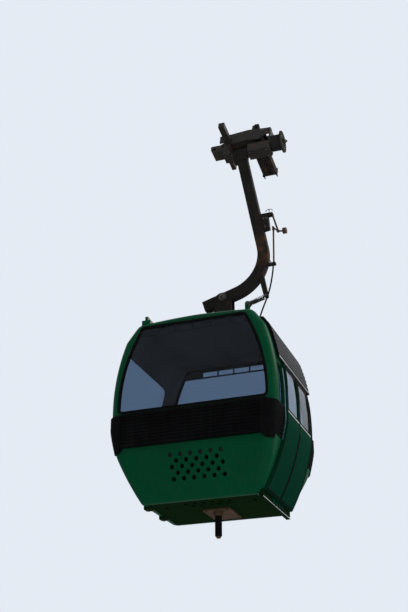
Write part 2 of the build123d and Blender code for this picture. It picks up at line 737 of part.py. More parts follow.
# Guide post under the floor
post_plate = block((-150, 150), (-80, 330), (floor_z - 16, floor_z - seat_gap))
socket = Pos(0, 0, floor_z - 40) * Cylinder(post_radius + 14, 48)
post_pin_hole = Pos(0, 0, floor_z) * Cylinder(post_pin_radius + pin_gap, 1200)
post_top = floor_z - 70
roller_post = Pos(0, 0, post_top - post_length / 2) * Cylinder(post_radius, post_length) - post_pin_hole
save("guide_roller", roller_post)
post_pin = Pos(0, 0, floor_z - 8 - (post_length + 85) / 2) * Cylinder(post_pin_radius, post_length + 85)
post_pin = post_pin + Pos(0, 0, post_top - post_length - 12) * Cylinder(post_radius - 12, 12)
save("guide_bracket", post_plate + socket + post_pin)

# Brackets at the left edge of the floor
station = []
station_x = (cabin_x - floor_half_width - 6, cabin_x - floor_half_width + 62)
for y in (-330.0, 90.0):
    station.append(block(station_x, (y - 45, y + 45), (floor_z - 24, floor_z + 40)))
save("floor_brackets", (Part() + station) - outer)

# Grip, drawn in a frame whose Y runs along the sloping rope
slope = math.radians(rope_slope)
rope_frame = Plane(origin=(0, 0, 0), x_dir=(1, 0, 0), z_dir=(0, math.sin(slope), math.cos(slope)))
axle_y = -axle_z * math.sin(slope)
axle_local_z = axle_z * math.cos(slope)


def grip_place(shape):
    return rope_frame * shape


jaw_half = jaw_length / 2
axle_hole = Pos(axle_x, axle_y, axle_local_z) * Rot(0, 90, 0) * Cylinder(axle_radius + pin_gap, 2000)

# body: lower jaw, the column beside the hub and the two cheeks that bridge over it
column_x = (118.0, 206.0)
column_bottom_z = axle_local_z - axle_radius - 16
cheek_y = (58.0, 74.0)
cheek_end_x = 690.0
cheek_top_z = 206.0
cheek_outline = Polyline((column_x[0], column_bottom_z), (column_x[1], column_bottom_z),
                         (column_x[1], 46), (243, 46), (405, 60), (566, 38), (650, 104),
                         (cheek_end_x, 110), (cheek_end_x, cheek_top_z), (646, 208), (421, 236),
                         (300, 224), (200, 216), (60, 214), (60, 100), (column_x[0], 100), close=True)
cheek_face = make_face(cheek_outline)
cheeks = along_y(cheek_face, *cheek_y) + along_y(cheek_face, -cheek_y[1], -cheek_y[0])
column = block(column_x, (-cheek_y[0], cheek_y[0]), (column_bottom_z, 40))
lower_jaw = block((-26, column_x[0] + 12), (-jaw_half, jaw_half), (-46, -2))
body = cheeks + column + lower_jaw
body = body - Rot(90, 0, 0) * Cylinder(rope_radius, 2 * reach)
spacer = Pos(610, 0, 172) * Rot(90, 0, 0) * Cylinder(22, 2 * cheek_y[0] + 4)
lever_pivot = (160.0, 100.0)
lever_pin_radius = 16.0
lever_axis = Pos(lever_pivot[0], 0, lever_pivot[1]) * Rot(90, 0, 0)
lever_pin = lever_axis * Cylinder(lever_pin_radius, 2 * cheek_y[1])
lever_bore = lever_axis * Cylinder(lever_pin_radius + pin_gap, 300)
body = (body + spacer + lever_pin) - axle_hole
save("grip_body", grip_place(body))

carrier_x = (428.0, cheek_end_x)
carrier_z = (-150.0, axle_local_z + axle_radius + 20)
carrier = block(carrier_x, (-cheek_y[1], cheek_y[1]), carrier_z) - axle_hole
save("spring_carrier", grip_place(carrier))

# lever with the upper jaw at one end and the control roller at the other
arm_outline = Polyline((-46, 2), (100, 2), (104, 62), (210, 72), (540, 108), (560, 150), (480, 168),
                       (300, 165), (170, 146), (60, 92), (-30, 66), (-46, 40), close=True)
lever_half = 45.0
grip_arm = along_y(make_face(arm_outline), -lever_half, lever_half)
upper_jaw = block((-46, 100), (-jaw_half, jaw_half), (2, 58))
roller_z = 330.0
roller_x = (488.0, 532.0)
roller_radius = 45.0
roller_axle_radius = 12.0
post_face = make_face(Polyline((430, 150), (500, 150), (484, roller_z - 40), (484, roller_z + 28),
                               (456, roller_z + 28), (446, roller_z - 50), close=True))
grip_arm = grip_arm + upper_jaw + along_y(post_face, -24, 24)
grip_arm = grip_arm - Rot(90, 0, 0) * Cylinder(rope_radius, 2 * reach) - lever_bore
roller_axle = Pos(498, 0, roller_z) * Rot(0, 90, 0) * Cylinder(roller_axle_radius, 84)
grip_arm = grip_arm + roller_axle
save("grip_lever", grip_place(grip_arm))
control_roller = Pos((roller_x[0] + roller_x[1]) / 2, 0, roller_z) * Rot(0, 90, 0)
control_roller = control_roller * (Cylinder(roller_radius, roller_x[1] - roller_x[0])
                                   - Cylinder(roller_axle_radius + pin_gap, 200))
save("lever_roller", grip_place(control_roller))

# spring pack: two springs side by side under an end plate, with tie rods
spring_x = (478.0, 668.0)
spring_z = (-122.0, -18.0)
spring_start = cheek_y[1] + seat_gap
spring_end = 396.0
spring_length = spring_end - spring_start
tie_end = spring_end + 62
tie_radius = 8.0
pack = Part()
for x in (526.0, 620.0):
    pack = pack + Pos(x, spring_start + spring_length / 2, -70) * Rot(90, 0, 0) * Cylinder(45, spring_length)
pack = pack + block(spring_x, (spring_end, spring_end + 18), spring_z)
for x in (spring_x[0] + 16, spring_x[1] - 16):
    for z in (spring_z[0] + 14, spring_z[1] - 14):
        tie_middle = Pos(x, (spring_start + tie_end) / 2, z) * Rot(90, 0, 0)
        pack = pack + tie_middle * Cylinder(tie_radius, tie_end - spring_start)
save("spring_pack", grip_place(pack))

# rope guides before and behind the jaws
guide_start = cheek_y[1] + seat_gap
guides = block((138, 210), (-350, -guide_start), (60, 134))
guides = guides + block((131, 183), (guide_start, 250), (-70, -16))
save("rope_guides", grip_place(guides))

# right-hand plate with the support roller's axle
plate_x = (cheek_end_x + seat_gap, cheek_end_x + 18)
support_z = -22.0
shaft = Pos(795, 0, support_z) * Rot(0, 90, 0) * Cylinder(25, 180)
shaft = shaft + Pos(870, 0, support_z) * Rot(0, 90, 0) * Cylinder(34, 14)
side_plate = block(plate_x, (-cheek_y[1], cheek_y[1]), (carrier_z[0], cheek_top_z))
save("roller_bracket", grip_place(side_plate + shaft))
tread = Pos(778, 0, support_z) * Rot(0, 90, 0) * Cylinder(98, 124)
flange = Pos(848, 0, support_z) * Rot(0, 90, 0) * Cylinder(134, 16)
support = (tread + flange) - Pos(795, 0, support_z) * Rot(0, 90, 0) * Cylinder(25 + pin_gap, 400)
save("support_roller", grip_place(support))
axle = Pos((150 + 470) / 2, axle_y, axle_local_z) * Rot(0, 90, 0) * Cylinder(axle_radius, 320)
save("hanger_axle", grip_place(axle))
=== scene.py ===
import bpy
import math
from mathutils import Matrix, Vector


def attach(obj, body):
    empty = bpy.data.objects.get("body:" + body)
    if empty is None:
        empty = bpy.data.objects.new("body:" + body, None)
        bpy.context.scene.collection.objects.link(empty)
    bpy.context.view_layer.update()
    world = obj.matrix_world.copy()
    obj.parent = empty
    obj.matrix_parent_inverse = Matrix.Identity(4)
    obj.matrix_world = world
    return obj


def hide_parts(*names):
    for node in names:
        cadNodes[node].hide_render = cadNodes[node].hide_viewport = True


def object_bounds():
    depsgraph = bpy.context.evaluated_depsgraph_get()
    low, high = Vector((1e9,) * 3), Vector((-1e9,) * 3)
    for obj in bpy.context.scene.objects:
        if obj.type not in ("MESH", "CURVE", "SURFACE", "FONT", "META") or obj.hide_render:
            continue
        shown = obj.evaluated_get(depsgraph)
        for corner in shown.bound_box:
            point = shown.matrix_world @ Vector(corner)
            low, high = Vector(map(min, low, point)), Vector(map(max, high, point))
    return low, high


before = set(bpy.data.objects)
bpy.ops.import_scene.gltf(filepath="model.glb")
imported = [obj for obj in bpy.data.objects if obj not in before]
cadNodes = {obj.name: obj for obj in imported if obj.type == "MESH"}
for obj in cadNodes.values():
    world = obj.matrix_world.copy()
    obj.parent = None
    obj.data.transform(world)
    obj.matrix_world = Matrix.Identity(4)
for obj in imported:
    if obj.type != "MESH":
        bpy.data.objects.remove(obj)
cadLow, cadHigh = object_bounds()
bpy.ops.object.select_all(action="DESELECT")
print("frame loaded,", len(cadNodes), "nodes")

# the whole grip is drawn on a slope
gripTilt = Matrix.Rotation(math.radians(-14), 4, "X")
cabinCentre = (-0.035, 0, -3.40)
bothSides = (-1, 1)
cabinEnds = (("front", -1), ("rear", 1))


# shader helpers

def addNode(tree, kind, place, **values):
    node = tree.nodes.new(kind)
    node.location = place
    for name, value in values.items():
        setattr(node, name, value)
    return node


def feed(tree, socket, value):
    # a socket takes a link, a number or a colour
    if isinstance(value, bpy.types.NodeSocket):
        tree.links.new(value, socket)
    elif isinstance(value, (int, float)):
        socket.default_value = value
    else:
        socket.default_value = (*value, 1.0)


def combine(tree, operation, a, b, place, clamp=False):
    node = addNode(tree, "ShaderNodeMath", place, operation=operation, use_clamp=clamp)
    feed(tree, node.inputs[0], a)
    feed(tree, node.inputs[1], b)
    return node.outputs[0]


def mixColour(tree, mask, a, b, place):
    node = addNode(tree, "ShaderNodeMix", place, data_type="RGBA")
    feed(tree, node.inputs[0], mask)
    feed(tree, node.inputs[6], a)
    feed(tree, node.inputs[7], b)
    return node.outputs[2]


def remap(tree, value, low, high, outLow, outHigh, place):
    node = addNode(tree, "ShaderNodeMapRange", place)
    for i, number in enumerate((value, low, high, outLow, outHigh)):
        feed(tree, node.inputs[i], number)
    return node.outputs[0]


def newGroup(name, inputs, output):
    group = bpy.data.node_groups.new(name, "ShaderNodeTree")
    for label, value in inputs.items():
        socket = group.interface.new_socket(label, in_out="INPUT", socket_type="NodeSocketFloat")
        socket.default_value = value
    group.interface.new_socket(output, in_out="OUTPUT", socket_type="NodeSocketFloat")
    start = addNode(group, "NodeGroupInput", (-900, 0))
    end = addNode(group, "NodeGroupOutput", (900, 0))
    return group, start.outputs, end.inputs[0]


def noiseField(tree, place, scale, detail, roughness=0.5, stretch=None):
    # noise on the piece's own coordinates, pulled long along Z where stretch says so
    coords = addNode(tree, "ShaderNodeTexCoord", (place[0] - 400, place[1]))
    vector = coords.outputs["Object"]
    if stretch:
        scaled = addNode(tree, "ShaderNodeVectorMath", (place[0] - 200, place[1]), operation="MULTIPLY")
        tree.links.new(vector, scaled.inputs[0])
        scaled.inputs[1].default_value = stretch
        vector = scaled.outputs[0]
    noise = addNode(tree, "ShaderNodeTexNoise", place)
    tree.links.new(vector, noise.inputs["Vector"])
    feed(tree, noise.inputs["Scale"], scale)
    noise.inputs["Detail"].default_value = detail
    noise.inputs["Roughness"].default_value = roughness
    return noise.outputs["Fac"]


# rain marks: dirt drawn down the sides in streaks, thicker in some places than in others
streakGroup, given, result = newGroup("rainStreaks", {"Cover": 0.5}, "Mask")
streaks = noiseField(streakGroup, (-500, 200), 1.0, 5.0, 0.6, (26, 26, 1.4))
clouds = noiseField(streakGroup, (-500, -150), 3.1, 4.0)
sharp = remap(streakGroup, streaks, 0.44, 0.72, 0, 1, (-100, 200))
soft = remap(streakGroup, clouds, 0.35, 0.75, 0.15, 1, (-100, -150))
product = combine(streakGroup, "MULTIPLY", sharp, soft, (200, 0))
covered = combine(streakGroup, "MULTIPLY", product, given["Cover"], (500, 0), clamp=True)
streakGroup.links.new(covered, result)

# rust, bare or dusty patches with ragged edges
patchDefaults = {"Scale": 6.0, "Threshold": 0.6, "Softness": 0.08}
patchGroup, given, result = newGroup("raggedPatches", patchDefaults, "Mask")
blobs = noiseField(patchGroup, (-500, 100), given["Scale"], 9.0, 0.68)
over = combine(patchGroup, "SUBTRACT", blobs, given["Threshold"], (-200, 100))
ragged = combine(patchGroup, "DIVIDE", over, given["Softness"], (200, 100), clamp=True)
patchGroup.links.new(ragged, result)

# fine relief: orange peel, cast skin or moulded grain, by its scales
grainGroup, given, result = newGroup("surfaceGrain", {"Fine": 180.0, "Coarse": 12.0, "Blend": 0.5}, "Height")
fine = noiseField(grainGroup, (-500, 200), given["Fine"], 3.0)
coarse = noiseField(grainGroup, (-500, -150), given["Coarse"], 2.0)
weighted = addNode(grainGroup, "ShaderNodeMix", (0, 0), data_type="FLOAT")
for socket, value in ((0, given["Blend"]), (2, fine), (3, coarse)):
    feed(grainGroup, weighted.inputs[socket], value)
grainGroup.links.new(weighted.outputs[0], result)

# which face of the cabin's wall this is: 1 on the inside, 0 on the outside
insideGroup, given, result = newGroup("cabinInside", {}, "Mask")
coords = addNode(insideGroup, "ShaderNodeTexCoord", (-900, 300))
outward = addNode(insideGroup, "ShaderNodeVectorMath", (-500, 200), operation="SUBTRACT")
insideGroup.links.new(coords.outputs["Object"], outward.inputs[0])
outward.inputs[1].default_value = cabinCentre
facing = addNode(insideGroup, "ShaderNodeVectorMath", (-200, 200), operation="DOT_PRODUCT")
insideGroup.links.new(outward.outputs[0], facing.inputs[0])
insideGroup.links.new(coords.outputs["Normal"], facing.inputs[1])
turnedIn = combine(insideGroup, "LESS_THAN", facing.outputs["Value"], -0.06, (200, 200))
insideGroup.links.new(turnedIn, result)


def placeGroup(tree, group, place, values):
    node = addNode(tree, "ShaderNodeGroup", place, node_tree=group)
    for label, value in values.items():
        feed(tree, node.inputs[label], value)
    return node.outputs[0]


def newMaterial(name):
    material = bpy.data.materials.new(name)
    material.use_nodes = True
    return material, material.node_tree, material.node_tree.nodes["Principled BSDF"]


def heightOf(tree, place):
    # height on the piece's own coordinates
    coords = addNode(tree, "ShaderNodeTexCoord", (place[0] - 250, place[1]))
    parts = addNode(tree, "ShaderNodeSeparateXYZ", place)
    tree.links.new(coords.outputs["Object"], parts.inputs[0])
    return parts.outputs[2]


def addRelief(tree, shader, relief):
    bump = addNode(tree, "ShaderNodeBump", (-200, -300))
    bump.inputs["Strength"].default_value = relief["strength"]
    bump.inputs["Distance"].default_value = relief["depth"]
    height = placeGroup(tree, grainGroup, (-450, -450), relief["grain"])
    tree.links.new(height, bump.inputs["Height"])
    tree.links.new(bump.outputs[0], shader.inputs["Normal"])


# the part of the noise over which the base tone turns into the second one
toneRange = (0.3, 0.7)


def makeFinish(name, look):
    # a worn finish: base tone with a second tone through it, patches, rain streaks, roughness and relief
    material, tree, shader = newMaterial(name)
    tone = noiseField(tree, (-1500, 500), look["toneScale"], 3.0)
    toneMask = remap(tree, tone, *toneRange, 0, 1, (-1250, 500))
    colour = mixColour(tree, toneMask, look["base"], look["second"], (-1000, 500))
    rough = remap(tree, tone, *toneRange, *look["rough"], (-1250, 250))
    metal = look.get("metal", 0.0)
    if "patch" in look:
        patch = look["patch"]
        mask = placeGroup(tree, patchGroup, (-1000, 200), patch["shape"])
        mottled = noiseField(tree, (-1250, 0), patch["shape"]["Scale"] * 7, 5.0)
        patchTone = mixColour(tree, mottled, patch["dark"], patch["light"], (-1000, 0))
        colour = mixColour(tree, mask, colour, patchTone, (-700, 400))
        rough = remap(tree, mask, 0, 1, rough, patch["rough"], (-700, 150))
        if metal:
            metal = remap(tree, mask, 0, 1, metal, patch["metal"], (-700, -50))
    if "streak" in look:
        streak = look["streak"]
        mask = placeGroup(tree, streakGroup, (-700, -250), {"Cover": streak["cover"]})
        colour = mixColour(tree, mask, colour, streak["colour"], (-450, 400))
        rough = remap(tree, mask, 0, 1, rough, streak["rough"], (-450, 150))
    if "belt" in look:
        # rust that stays between two heights
        belt = look["belt"]
        height = heightOf(tree, (-1000, -700))
        rise = remap(tree, height, belt["low"], belt["low"] + belt["fade"], 0, 1, (-800, -600))
        fall = remap(tree, height, belt["high"] - belt["fade"], belt["high"], 1, 0, (-800, -800))
        band = combine(tree, "MULTIPLY", rise, fall, (-600, -700))
        clouds = noiseField(tree, (-1000, -950), belt["cloudScale"], 6.0)
        cloudMask = remap(tree, clouds, *belt["cloudRange"], 0, 1, (-800, -950))
        mask = combine(tree, "MULTIPLY", band, cloudMask, (-450, -750))
        colour = mixColour(tree, mask, colour, belt["colour"], (-330, 500))
        rough = remap(tree, mask, 0, 1, rough, belt["rough"], (-330, 150))
    if "lining" in look:
        # the wall's inner face: pale up at the ceiling, dark below the windows
        lining = look["lining"]
        mask = placeGroup(tree, insideGroup, (-450, -250), {})
        height = heightOf(tree, (-1250, -250))
        ceiling = remap(tree, height, lining["low"], lining["high"], 0, 1, (-1000, -250))
        pale = mixColour(tree, toneMask, *lining["pale"], (-700, -500))
        liningTone = mixColour(tree, ceiling, lining["dark"], pale, (-450, -50))
        colour = mixColour(tree, mask, colour, liningTone, (-200, 400))
        rough = remap(tree, mask, 0, 1, rough, lining["rough"], (-200, 150))
    feed(tree, shader.inputs["Base Color"], colour)
    feed(tree, shader.inputs["Roughness"], rough)
    feed(tree, shader.inputs["Metallic"], metal)
    shader.inputs["Specular IOR Level"].default_value = look.get("specular", 0.4)
    addRelief(tree, shader, look["relief"])
    return material


def makeGlass(name, look):
    # tinted sheet with a film of dust and rain spots
    material, tree, shader = newMaterial(name)
    mask = placeGroup(tree, streakGroup, (-900, 200), {"Cover": look["dust"]})
    colour = mixColour(tree, mask, look["tint"], look["dustTone"], (-500, 300))
    feed(tree, shader.inputs["Base Color"], colour)
    feed(tree, shader.inputs["Roughness"], remap(tree, mask, 0, 1, *look["rough"], (-500, 50)))
    shader.inputs["Transmission Weight"].default_value = look["clear"]
    shader.inputs["IOR"].default_value = look["ior"]
    shader.inputs["Specular IOR Level"].default_value = look["specular"]
    addRelief(tree, shader, look["relief"])
    return material


def grain(fine, coarse, blend, strength, depth):
    return {"grain": {"Fine": fine, "Coarse": coarse, "Blend": blend}, "strength": strength, "depth": depth}


def patches(scale, threshold, softness):
    return {"Scale": scale, "Threshold": threshold, "Softness": softness}


wallLining = {
    "pale": ((0.190, 0.158, 0.142), (0.290, 0.243, 0.222)), "dark": (0.022, 0.019, 0.018),
    "low": -3.25, "high": -2.85, "rough": 0.62,
}
dustTone = (0.030, 0.050, 0.034)
rustDark = (0.030, 0.013, 0.007)
rustLight = (0.105, 0.040, 0.016)

paintedPanel = {
    "base": (0.0006, 0.041, 0.0155), "second": (0.0008, 0.050, 0.0195), "toneScale": 1.3,
    "rough": (0.30, 0.40), "specular": 0.02,
    "patch": {"shape": patches(9.0, 0.68, 0.10), "dark": (0.006, 0.048, 0.021), "light": (0.008, 0.056, 0.026),
              "rough": 0.5},
    "streak": {"cover": 0.22, "colour": dustTone, "rough": 0.6},
    "lining": wallLining,
    "relief": grain(140.0, 9.0, 0.4, 0.10, 0.0012),
}
# the doors: the cabin's green at half its brightness as painted shade, with their own pale rain streaks
shadedDoorPaint = dict(
    paintedPanel, base=(0.0004, 0.021, 0.0105), second=(0.0006, 0.027, 0.0145), specular=0.001,
    streak={"cover": 0.30, "colour": (0.010, 0.048, 0.030), "rough": 0.6})
# the underside: the cabin's green painted dark and olive, as painted shade from facing down with a painted
# reflection of green ground in it, and paler olive blotches
undersideShadeAndGroundTint = {
    "base": (0.0026, 0.0110, 0.0034), "second": (0.0048, 0.0160, 0.0042), "toneScale": 2.6,
    "rough": (0.5, 0.68), "specular": 0.001,
    "patch": {"shape": patches(5.0, 0.60, 0.16), "dark": (0.006, 0.012, 0.004), "light": (0.014, 0.022, 0.007),
              "rough": 0.8},
    "lining": wallLining,
    "relief": grain(90.0, 7.0, 0.5, 0.25, 0.002),
}
hangerPaint = {
    "base": (0.0095, 0.0092, 0.0086), "second": (0.016, 0.0148, 0.0135), "toneScale": 3.0,
    "rough": (0.42, 0.6), "specular": 0.025,
    "patch": {"shape": patches(5.5, 0.605, 0.07), "dark": rustDark, "light": rustLight, "rough": 0.82},
    "streak": {"cover": 0.40, "colour": (0.042, 0.024, 0.015), "rough": 0.8},
    "belt": {"low": -1.68, "high": -1.26, "fade": 0.10, "cloudScale": 7.0, "cloudRange": (0.40, 0.62),
             "colour": (0.060, 0.032, 0.018), "rough": 0.8},
    "relief": grain(120.0, 22.0, 0.5, 0.35, 0.002),
}
ribbedPlastic = {
    "base": (0.0026, 0.0026, 0.0029), "second": (0.0046, 0.0046, 0.0050), "toneScale": 4.0,
    "rough": (0.46, 0.60), "specular": 0.004,
    "streak": {"cover": 0.22, "colour": (0.020, 0.020, 0.018), "rough": 0.75},
    "relief": grain(420.0, 60.0, 0.3, 0.35, 0.0008),
}
sealRubber = {
    "base": (0.0028, 0.0028, 0.0030), "second": (0.0050, 0.0050, 0.0053), "toneScale": 12.0,
    "rough": (0.58, 0.74), "specular": 0.012,
    "patch": {"shape": patches(30.0, 0.62, 0.12), "dark": (0.007, 0.007, 0.007), "light": (0.013, 0.013, 0.012),
              "rough": 0.85},
    "relief": grain(300.0, 80.0, 0.3, 0.3, 0.0006),
}
bareAluminium = {
    "base": (0.30, 0.295, 0.28), "second": (0.42, 0.41, 0.39), "toneScale": 14.0,
    "rough": (0.34, 0.5), "metal": 1.0,
    "patch": {"shape": patches(18.0, 0.58, 0.12), "dark": (0.09, 0.085, 0.075), "light": (0.16, 0.15, 0.13),
              "rough": 0.75, "metal": 0.2},
    "relief": grain(260.0, 30.0, 0.3, 0.2, 0.0006),
}
railMetal = dict(
    bareAluminium, base=(0.034, 0.030, 0.025), second=(0.058, 0.050, 0.040), rough=(0.5, 0.66), metal=0.3)
castSteel = {
    "base": (0.012, 0.011, 0.010), "second": (0.027, 0.023, 0.019), "toneScale": 9.0,
    "rough": (0.42, 0.62), "metal": 0.15, "specular": 0.12,
    "patch": {"shape": patches(13.0, 0.57, 0.08), "dark": rustDark, "light": (0.085, 0.038, 0.018),
              "rough": 0.85, "metal": 0.0},
    "relief": grain(150.0, 40.0, 0.5, 0.5, 0.0018),
}
wornSteel = {
    "base": (0.20, 0.19, 0.175), "second": (0.33, 0.31, 0.29), "toneScale": 20.0,
    "rough": (0.25, 0.42), "metal": 1.0,
    "patch": {"shape": patches(26.0, 0.55, 0.10), "dark": (0.035, 0.024, 0.016), "light": (0.10, 0.055, 0.03),
              "rough": 0.8, "metal": 0.1},
    "relief": grain(300.0, 60.0, 0.4, 0.3, 0.0008),
}
springPaint = dict(castSteel, base=(0.016, 0.014, 0.012), second=(0.034, 0.028, 0.022))
rustySteel = {
    "base": (0.036, 0.022, 0.014), "second": (0.080, 0.046, 0.026), "toneScale": 11.0,
    "rough": (0.72, 0.9), "specular": 0.1,
    "patch": {"shape": patches(16.0, 0.56, 0.1), "dark": (0.022, 0.012, 0.008), "light": (0.115, 0.064, 0.034),
              "rough": 0.92},
    "relief": grain(130.0, 34.0, 0.5, 0.7, 0.002),
}
rollerPlastic = dict(
    ribbedPlastic, base=(0.010, 0.010, 0.011), second=(0.022, 0.021, 0.020),
    relief=grain(200.0, 30.0, 0.4, 0.4, 0.0012))
seatPlastic = {
    "base": (0.012, 0.012, 0.013), "second": (0.018, 0.018, 0.020), "toneScale": 3.0,
    "rough": (0.4, 0.55), "specular": 0.1,
    "patch": {"shape": patches(12.0, 0.62, 0.12), "dark": (0.016, 0.016, 0.016), "light": (0.028, 0.028, 0.027),
              "rough": 0.7},
    "relief": grain(350.0, 40.0, 0.3, 0.3, 0.0008),
}
# pale grey glossy strips on the header's ribs as painted highlights, with the plastic's real dust streaks
ribHighlightPlastic = dict(
    ribbedPlastic, base=(0.055, 0.057, 0.060), second=(0.095, 0.097, 0.100), specular=0.5, rough=(0.26, 0.38))
dullBolt = dict(wornSteel, base=(0.035, 0.032, 0.029), second=(0.065, 0.058, 0.052), metal=0.5)
rodPaint = dict(castSteel, base=(0.030, 0.017, 0.011), second=(0.060, 0.034, 0.020), metal=0.2)
tintedGlass = {
    "tint": (0.29, 0.36, 0.45), "clear": 1.0, "specular": 0.5, "ior": 1.18,
    "dust": 0.05, "dustTone": (0.20, 0.21, 0.22), "rough": (0.02, 0.22),
    "relief": grain(3.0, 1.2, 0.5, 0.05, 0.002),
}

finishes = {name: makeFinish(name, look) for name, look in {
    "paintedPanel": paintedPanel, "shadedDoorPaint": shadedDoorPaint, "undersideShadeAndGroundTint": undersideShadeAndGroundTint,
    "hangerPaint": hangerPaint, "ribbedPlastic": ribbedPlastic, "sealRubber": sealRubber,
    "bareAluminium": bareAluminium, "railMetal": railMetal, "castSteel": castSteel, "wornSteel": wornSteel,
    "springPaint": springPaint, "rustySteel": rustySteel, "rollerPlastic": rollerPlastic,
    "seatPlastic": seatPlastic, "rodPaint": rodPaint, "ribHighlightPlastic": ribHighlightPlastic,
    "dullBolt": dullBolt}.items()}
finishes["tintedGlass"] = makeGlass("tintedGlass", tintedGlass)

nodeFinish = {
    "paintedPanel": ["end_frame_front", "end_frame_rear", "lower_panels", "roof_panel", "side_wall_left",
                     "side_wall_right", "roof_bracket"],
    "shadedDoorPaint": ["door_front", "door_rear"],
    "undersideShadeAndGroundTint": ["floor_pan", "floor_brackets", "door_rail_bottom"],
    "hangerPaint": ["hanger_arm", "hanger_head", "hanger_brackets", "suspension_bracket"],
    "ribbedPlastic": ["bumpers", "door_header"],
    "sealRubber": ["window_seals", "door_cable", "cable_gland", "guide_roller"],
    "bareAluminium": ["door_rail_top"],
    "railMetal": ["vent_strips"],
    "castSteel": ["grip_body", "grip_lever", "spring_carrier", "roller_bracket", "rope_guides"],
    "wornSteel": ["hanger_axle", "suspension_pins"],
    "rodPaint": ["door_lever", "door_rod", "door_lever_roller"],
    "springPaint": ["spring_pack", "damper"],
    "rustySteel": ["guide_bracket"],
    "rollerPlastic": ["lever_roller", "support_roller"],
    "seatPlastic": ["benches"],
    "tintedGlass": ["end_windows", "window_left", "strip_windows", "door_glass_front", "door_glass_rear"],
}
for finish, names in nodeFinish.items():
    for name in names:
        cadNodes[name].data.materials.clear()
        cadNodes[name].data.materials.append(finishes[finish])
left = set(cadNodes) - {name for names in nodeFinish.values() for name in names}
print("finishes given, nodes without one:", sorted(left))


# modelling helpers

def deselect():
    bpy.ops.object.select_all(action="DESELECT")


def only(piece):
    deselect()
    piece.select_set(True)
    bpy.context.view_layer.objects.active = piece


def pick(piece, test, edges=False):
    # into edit mode, with only the faces or edges that the test takes selected
    bpy.context.view_layer.objects.active = piece
    mesh = piece.data
    for group in (mesh.vertices, mesh.edges, mesh.polygons):
        group.foreach_set("select", [False] * len(group))
    bpy.context.tool_settings.mesh_select_mode = (False, edges, not edges)
    if edges:
        for edge in mesh.edges:
            a, b = (mesh.vertices[i].co for i in edge.vertices)
            edge.select = test((a + b) / 2, (b - a).normalized())
    else:
        for face in mesh.polygons:
            face.select = test(face.center, face.normal)
    bpy.ops.object.mode_set(mode="EDIT")


def done():
    bpy.ops.object.mode_set(mode="OBJECT")


def settle(piece):
    only(piece)
    bpy.ops.object.transform_apply(location=True, rotation=True, scale=True)
    return piece


def applyAll(piece):
    only(piece)
    for modifier in list(piece.modifiers):
        bpy.ops.object.modifier_apply(modifier=modifier.name)


def joined(parts, name):
    deselect()
    for part in parts:
        part.select_set(True)
    bpy.context.view_layer.objects.active = parts[0]
    if len(parts) > 1:
        bpy.ops.object.join()
    parts[0].name = name
    return settle(parts[0])


def placed(point, axis, size=1.0, spin=0.0):
    # the master's Z turned to the axis, its foot on the point
    turn = Vector(axis).to_track_quat("Z", "Y").to_matrix().to_4x4()
    return Matrix.Translation(point) @ turn @ Matrix.Rotation(spin, 4, "Z") @ Matrix.Scale(size, 4)


def copyOf(master, place):
    copy = master.copy()
    copy.data = master.data.copy()
    copy.matrix_world = place
    bpy.context.scene.collection.objects.link(copy)
    return copy


def give(piece, body, finish):
    # smooth where the faces turn little, then its finish and its body
    only(piece)
    bpy.ops.object.shade_smooth_by_angle(angle=math.radians(35))
    piece.data.materials.clear()
    piece.data.materials.append(finishes[finish])
    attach(piece, body)
    return piece


def softCylinder(radius, depth, place, sides=24, edge=0.0015):
    # cylinder with its rims rounded
    deselect()
    bpy.ops.mesh.primitive_cylinder_add(vertices=sides, radius=radius, depth=depth)
    rod = bpy.context.object
    pick(rod, lambda middle, way: abs(way.z) < 0.1 and abs(middle.z) > depth * 0.49, edges=True)
    bpy.ops.mesh.bevel(offset=edge, segments=2)
    done()
    rod.matrix_world = place
    return settle(rod)


def softBlock(low, high, edge, place=None):
    # box from its two corners with every edge rounded
    deselect()
    bpy.ops.mesh.primitive_cube_add(size=1)
    block = bpy.context.object
    block.scale = [b - a for a, b in zip(low, high)]
    block.location = [(a + b) / 2 for a, b in zip(low, high)]
    settle(block)
    pick(block, lambda middle, way: True, edges=True)
    bpy.ops.mesh.bevel(offset=edge, segments=2)
    done()
    if place:
        block.matrix_world = place
        settle(block)
    return block


def closeEnds(sides):
    # in edit mode: a cap on each open end of a tube
    bpy.ops.mesh.select_all(action="DESELECT")
    bpy.ops.mesh.select_mode(type="EDGE")
    bpy.ops.mesh.select_non_manifold(extend=False)
    bpy.ops.mesh.fill_holes(sides=sides)


def crowned(sides, radius, depth, height, inset, rise):
    # disc with its upper face drawn in and up
    deselect()
    bpy.ops.mesh.primitive_cylinder_add(vertices=sides, radius=radius, depth=depth, location=(0, 0, height))
    disc = settle(bpy.context.object)
    pick(disc, lambda middle, normal: normal.z > 0.9)
    bpy.ops.mesh.inset(thickness=inset)
    bpy.ops.transform.translate(value=(0, 0, rise))
    done()
    return disc


# hexagonal bolt head of unit size on its washer, and a nut with the thread's end standing out of it
fastener = {  # sides, radius, depth, height, inset, rise
    "head": (6, 1.0, 0.62, 0.45, 0.17, 0.12),
    "washer": (18, 1.28, 0.15, 0.075, 0.08, 0.04),
    "thread": (12, 0.52, 0.5, 1.05, 0.12, 0.10),
}
boltMaster = joined([crowned(*fastener["head"]), crowned(*fastener["washer"])], "boltMaster")
nutMaster = joined([copyOf(boltMaster, Matrix.Identity(4)), crowned(*fastener["thread"])], "nutMaster")
fastenerTurn = 0.7  # from each fastener to the next, in radians


def fasteners(name, body, rows, tilt=None, finish="dullBolt"):
    # rows: master, point, axis, size
    tilt = tilt or Matrix.Identity(4)
    made = [copyOf(master, tilt @ placed(point, axis, size, spin=i * fastenerTurn))
            for i, (master, point, axis, size) in enumerate(rows)]
    return give(joined(made, name), body, finish)


def sideRows(master, places, side):
    # places on faces that look to one side: x, distance from the middle, z, size
    return [(master, (x, side * out, z), (0, side, 0), size) for x, out, z, size in places]


